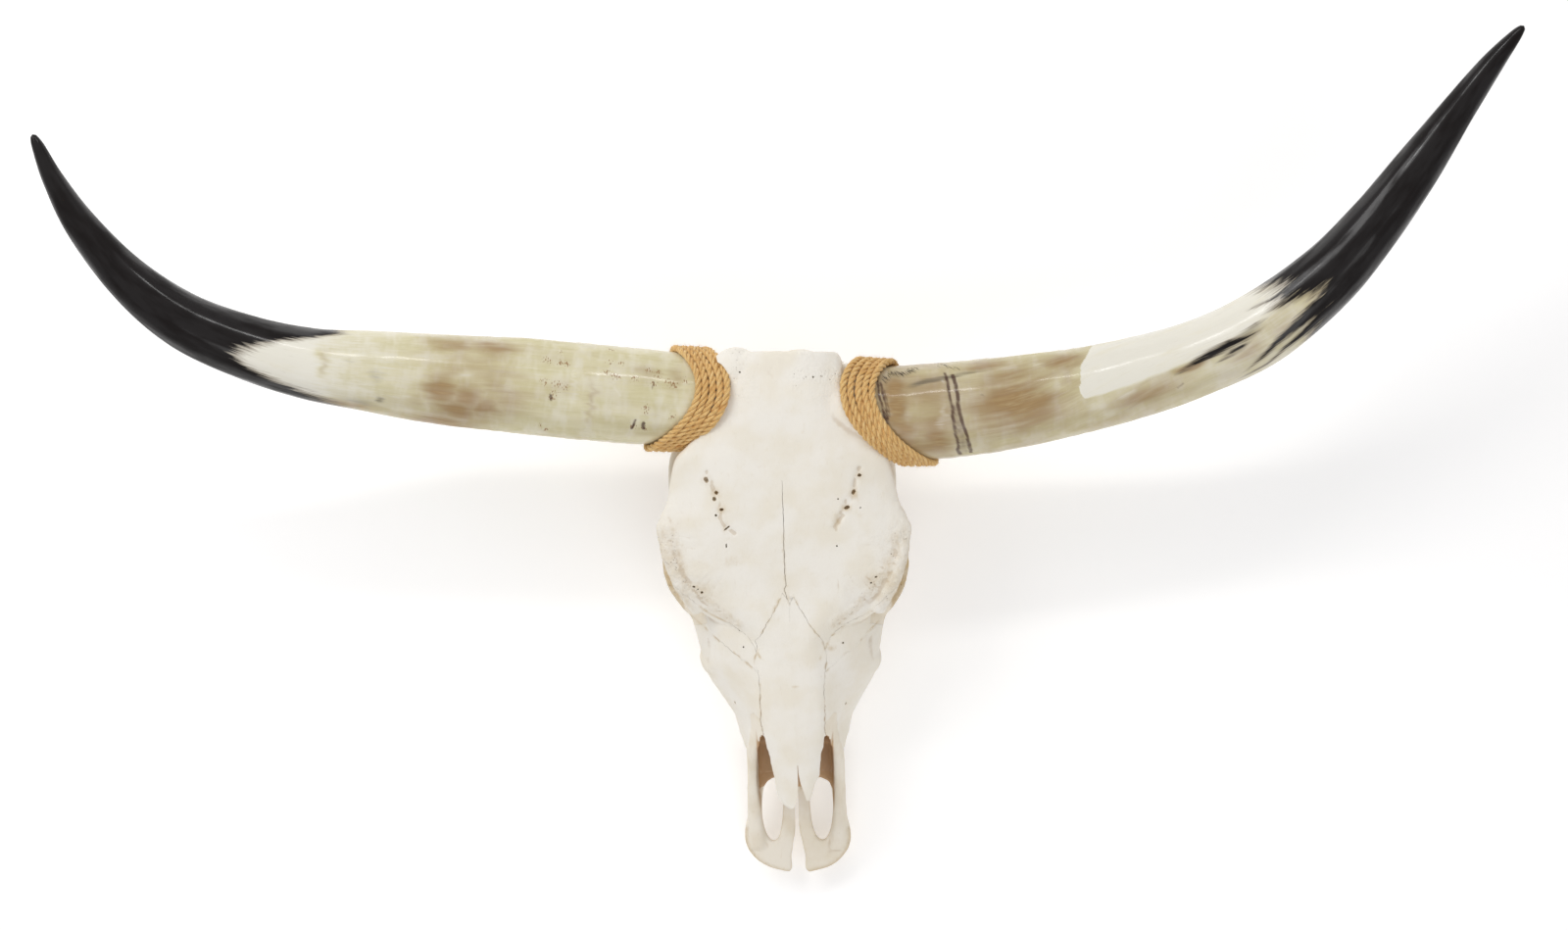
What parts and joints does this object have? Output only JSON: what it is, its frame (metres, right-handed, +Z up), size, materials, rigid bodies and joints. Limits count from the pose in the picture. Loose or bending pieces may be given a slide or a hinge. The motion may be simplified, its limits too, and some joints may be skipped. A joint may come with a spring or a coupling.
{
  "type": "longhorn steer skull",
  "caption": "Weathered longhorn steer skull lying on its teeth, with wide curved horn sheaths and rope bound round each horn base; no lower jaw.",
  "frame": {"origin": "on the surface that the skull lies on, under the middle of the bounding box", "axes": "-Y forward along the muzzle, +Y toward the back of the head, +X toward the animal's left, +Z up out of the forehead"},
  "size_m": [1.3881, 0.8011, 0.2823],
  "materials": {
    "bone": "dry weathered bone, matt, chalky to slightly waxy",
    "stained_bone": "dry bone, yellowed and stained, matt",
    "horn_sheath": "smooth horn, polished to a satin gloss; greenish tan base, off-white middle, near-black tip",
    "rope": "three-strand natural fibre, rough and fuzzy"
  },
  "bodies": {
    "root": {"cranium": "bone", "nasal_right": "bone", "nasal_left": "bone", "premaxilla_right": "stained_bone", "premaxilla_left": "stained_bone", "lacrimal_right": "bone", "lacrimal_left": "bone", "zygomatic_right": "stained_bone", "zygomatic_left": "stained_bone", "maxilla_right": "bone", "maxilla_left": "bone", "horn_right": "horn_sheath", "horn_left": "horn_sheath", "rope_right": "rope", "rope_left": "rope"}
  },
  "joints": []
}
